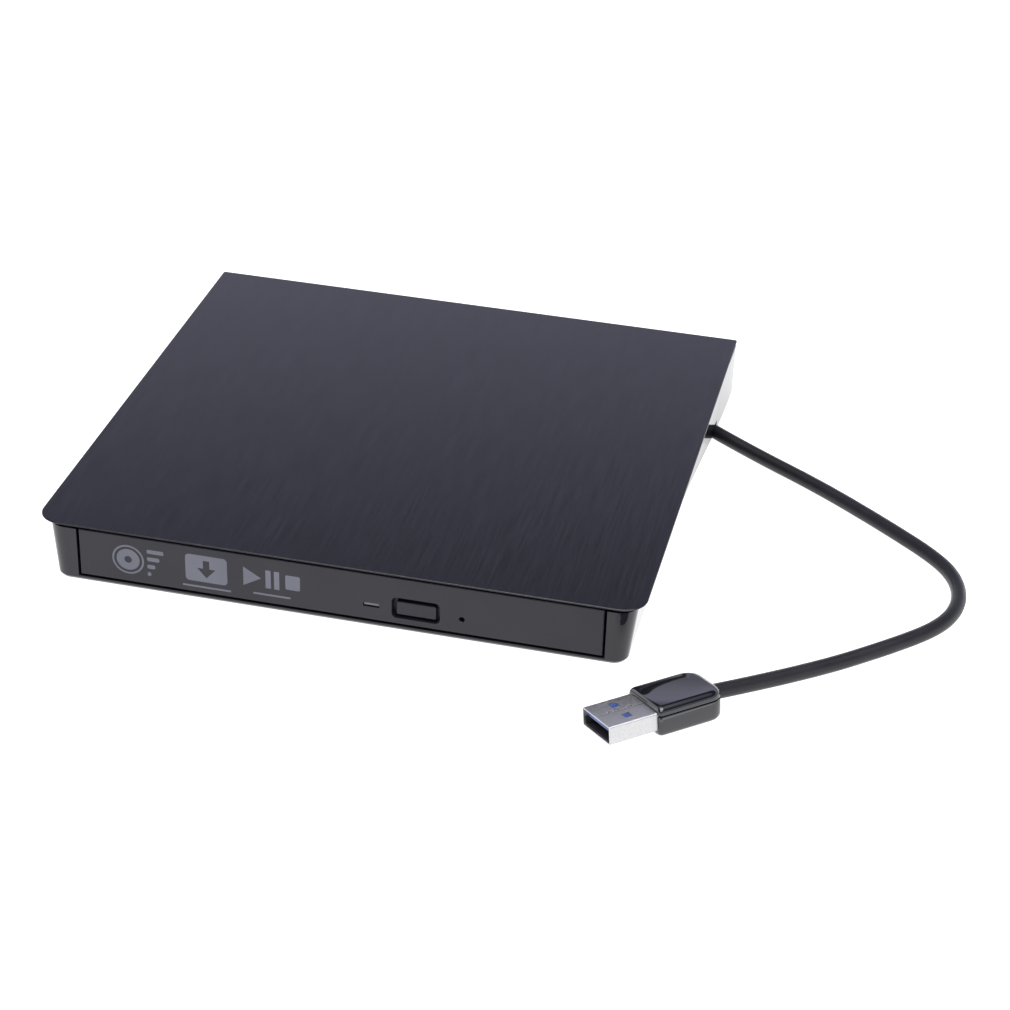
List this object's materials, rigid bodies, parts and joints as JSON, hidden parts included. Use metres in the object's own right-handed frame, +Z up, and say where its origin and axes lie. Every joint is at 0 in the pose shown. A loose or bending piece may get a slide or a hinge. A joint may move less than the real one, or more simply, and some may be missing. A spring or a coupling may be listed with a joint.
{
  "type": "external optical drive",
  "caption": "Slim external disc drive with a slide-out tray, eject button and an attached USB lead ending in a type A plug.",
  "frame": {"origin": "on the surface the feet stand on, under the middle of the case", "axes": "+X right along the case's width, +Y from the tray's face to the back, +Z up"},
  "size_m": [0.2192, 0.1731, 0.017],
  "materials": {
    "lid": "brushed satin",
    "shell": "gloss",
    "bezel": "satin",
    "tray": "matte",
    "rubber": "matte",
    "steel": "satin",
    "sheet": "satin",
    "screw": "satin",
    "board": "satin",
    "chip": "matte",
    "connector": "satin",
    "clear": "clear gloss",
    "ribbon": "satin",
    "lens": "clear",
    "brass": "satin",
    "white_plastic": "satin",
    "cord": "satin",
    "overmould": "gloss",
    "usb_shell": "bright",
    "usb_blue": "satin"
  },
  "bodies": {
    "housing": {"base_shell": "shell", "board_screw_1": "screw", "board_screw_2": "screw", "bracket_screw": "screw", "bridge_board": "board", "bridge_chip": "chip", "bridge_crystal": "steel", "cable_grommet": "rubber", "cable_header": "white_plastic", "cable_tail": "cord", "case_screw_1": "screw", "case_screw_2": "screw", "case_screw_3": "screw", "case_screw_4": "screw", "drive_bracket": "steel", "drive_chassis": "steel", "drive_cover": "sheet", "foot_1": "rubber", "foot_2": "rubber", "foot_3": "rubber", "foot_4": "rubber", "latch_post": "steel", "plug_overmould": "overmould", "plug_shell": "usb_shell", "plug_tongue": "usb_blue", "rail_guide_left": "tray", "rail_guide_right": "tray", "ribbon_lower": "ribbon", "sata_plug": "connector", "sata_socket": "connector", "top_cover": "lid", "usb_cable": "cord"},
    "rail_left_body": {"rail_left": "steel"},
    "rail_right_body": {"rail_right": "steel"},
    "tray": {"disc_tray": "tray", "tray_bezel": "bezel", "led_light_pipe": "clear", "front_board": "board", "button_switch": "connector", "tray_underplate": "sheet", "traverse_cover": "sheet", "traverse_frame": "steel", "spindle_motor": "steel", "guide_rod_1": "steel", "guide_rod_2": "steel", "sled_motor": "steel", "tray_board": "board", "tray_chip": "chip", "latch_solenoid": "brass", "latch_pin": "steel", "ribbon_upper": "ribbon"},
    "button": {"eject_button": "bezel"},
    "spindle": {"turntable": "connector", "turntable_ring": "rubber"},
    "pickup": {"pickup_sled": "steel", "lens_holder": "connector", "pickup_lens": "lens", "sled_nut": "white_plastic"},
    "screw": {"lead_screw": "steel"},
    "latch": {"latch_hook": "white_plastic"}
  },
  "joints": [
    {"name": "tray_slide", "type": "slide", "parent": "housing", "child": "tray", "axis": [0, -1, 0], "range_m": [0, 0.127]},
    {"name": "rail_left_slide", "type": "slide", "parent": "housing", "child": "rail_left_body", "axis": [0, -1, 0], "range_m": [0, 0.0635]},
    {"name": "rail_right_slide", "type": "slide", "parent": "housing", "child": "rail_right_body", "axis": [0, -1, 0], "range_m": [0, 0.0635]},
    {"name": "eject_press", "type": "slide", "parent": "tray", "child": "button", "axis": [0, 1, 0], "range_m": [0, 0.0006], "stiffness_N_per_m": 1500, "springref_m": -0.0004},
    {"name": "spindle_spin", "type": "hinge", "parent": "tray", "child": "spindle", "pos_m": [0.0009, -0.0051, 0.0124], "axis": [0, 0, 1], "continuous": true},
    {"name": "sled_slide", "type": "slide", "parent": "tray", "child": "pickup", "axis": [-0.7071, -0.7071, 0], "range_m": [0, 0.032]},
    {"name": "screw_turn", "type": "hinge", "parent": "tray", "child": "screw", "pos_m": [-0.00829, -0.03833, 0.0071], "axis": [-0.7071, -0.7071, 0], "range_deg": [0, 3850]},
    {"name": "latch_turn", "type": "hinge", "parent": "tray", "child": "latch", "pos_m": [0.0389, 0.046, 0.0064], "axis": [0, 0, 1], "range_deg": [0, 10], "stiffness_Nm_per_rad": 0.02, "springref_deg": -17.19}
  ],
  "couplings": [
    {"joint": "rail_left_slide", "follows": "tray_slide", "ratio": 0.5},
    {"joint": "rail_right_slide", "follows": "tray_slide", "ratio": 0.5},
    {"joint": "screw_turn", "follows": "sled_slide", "rad_per_m": 2094.4}
  ]
}
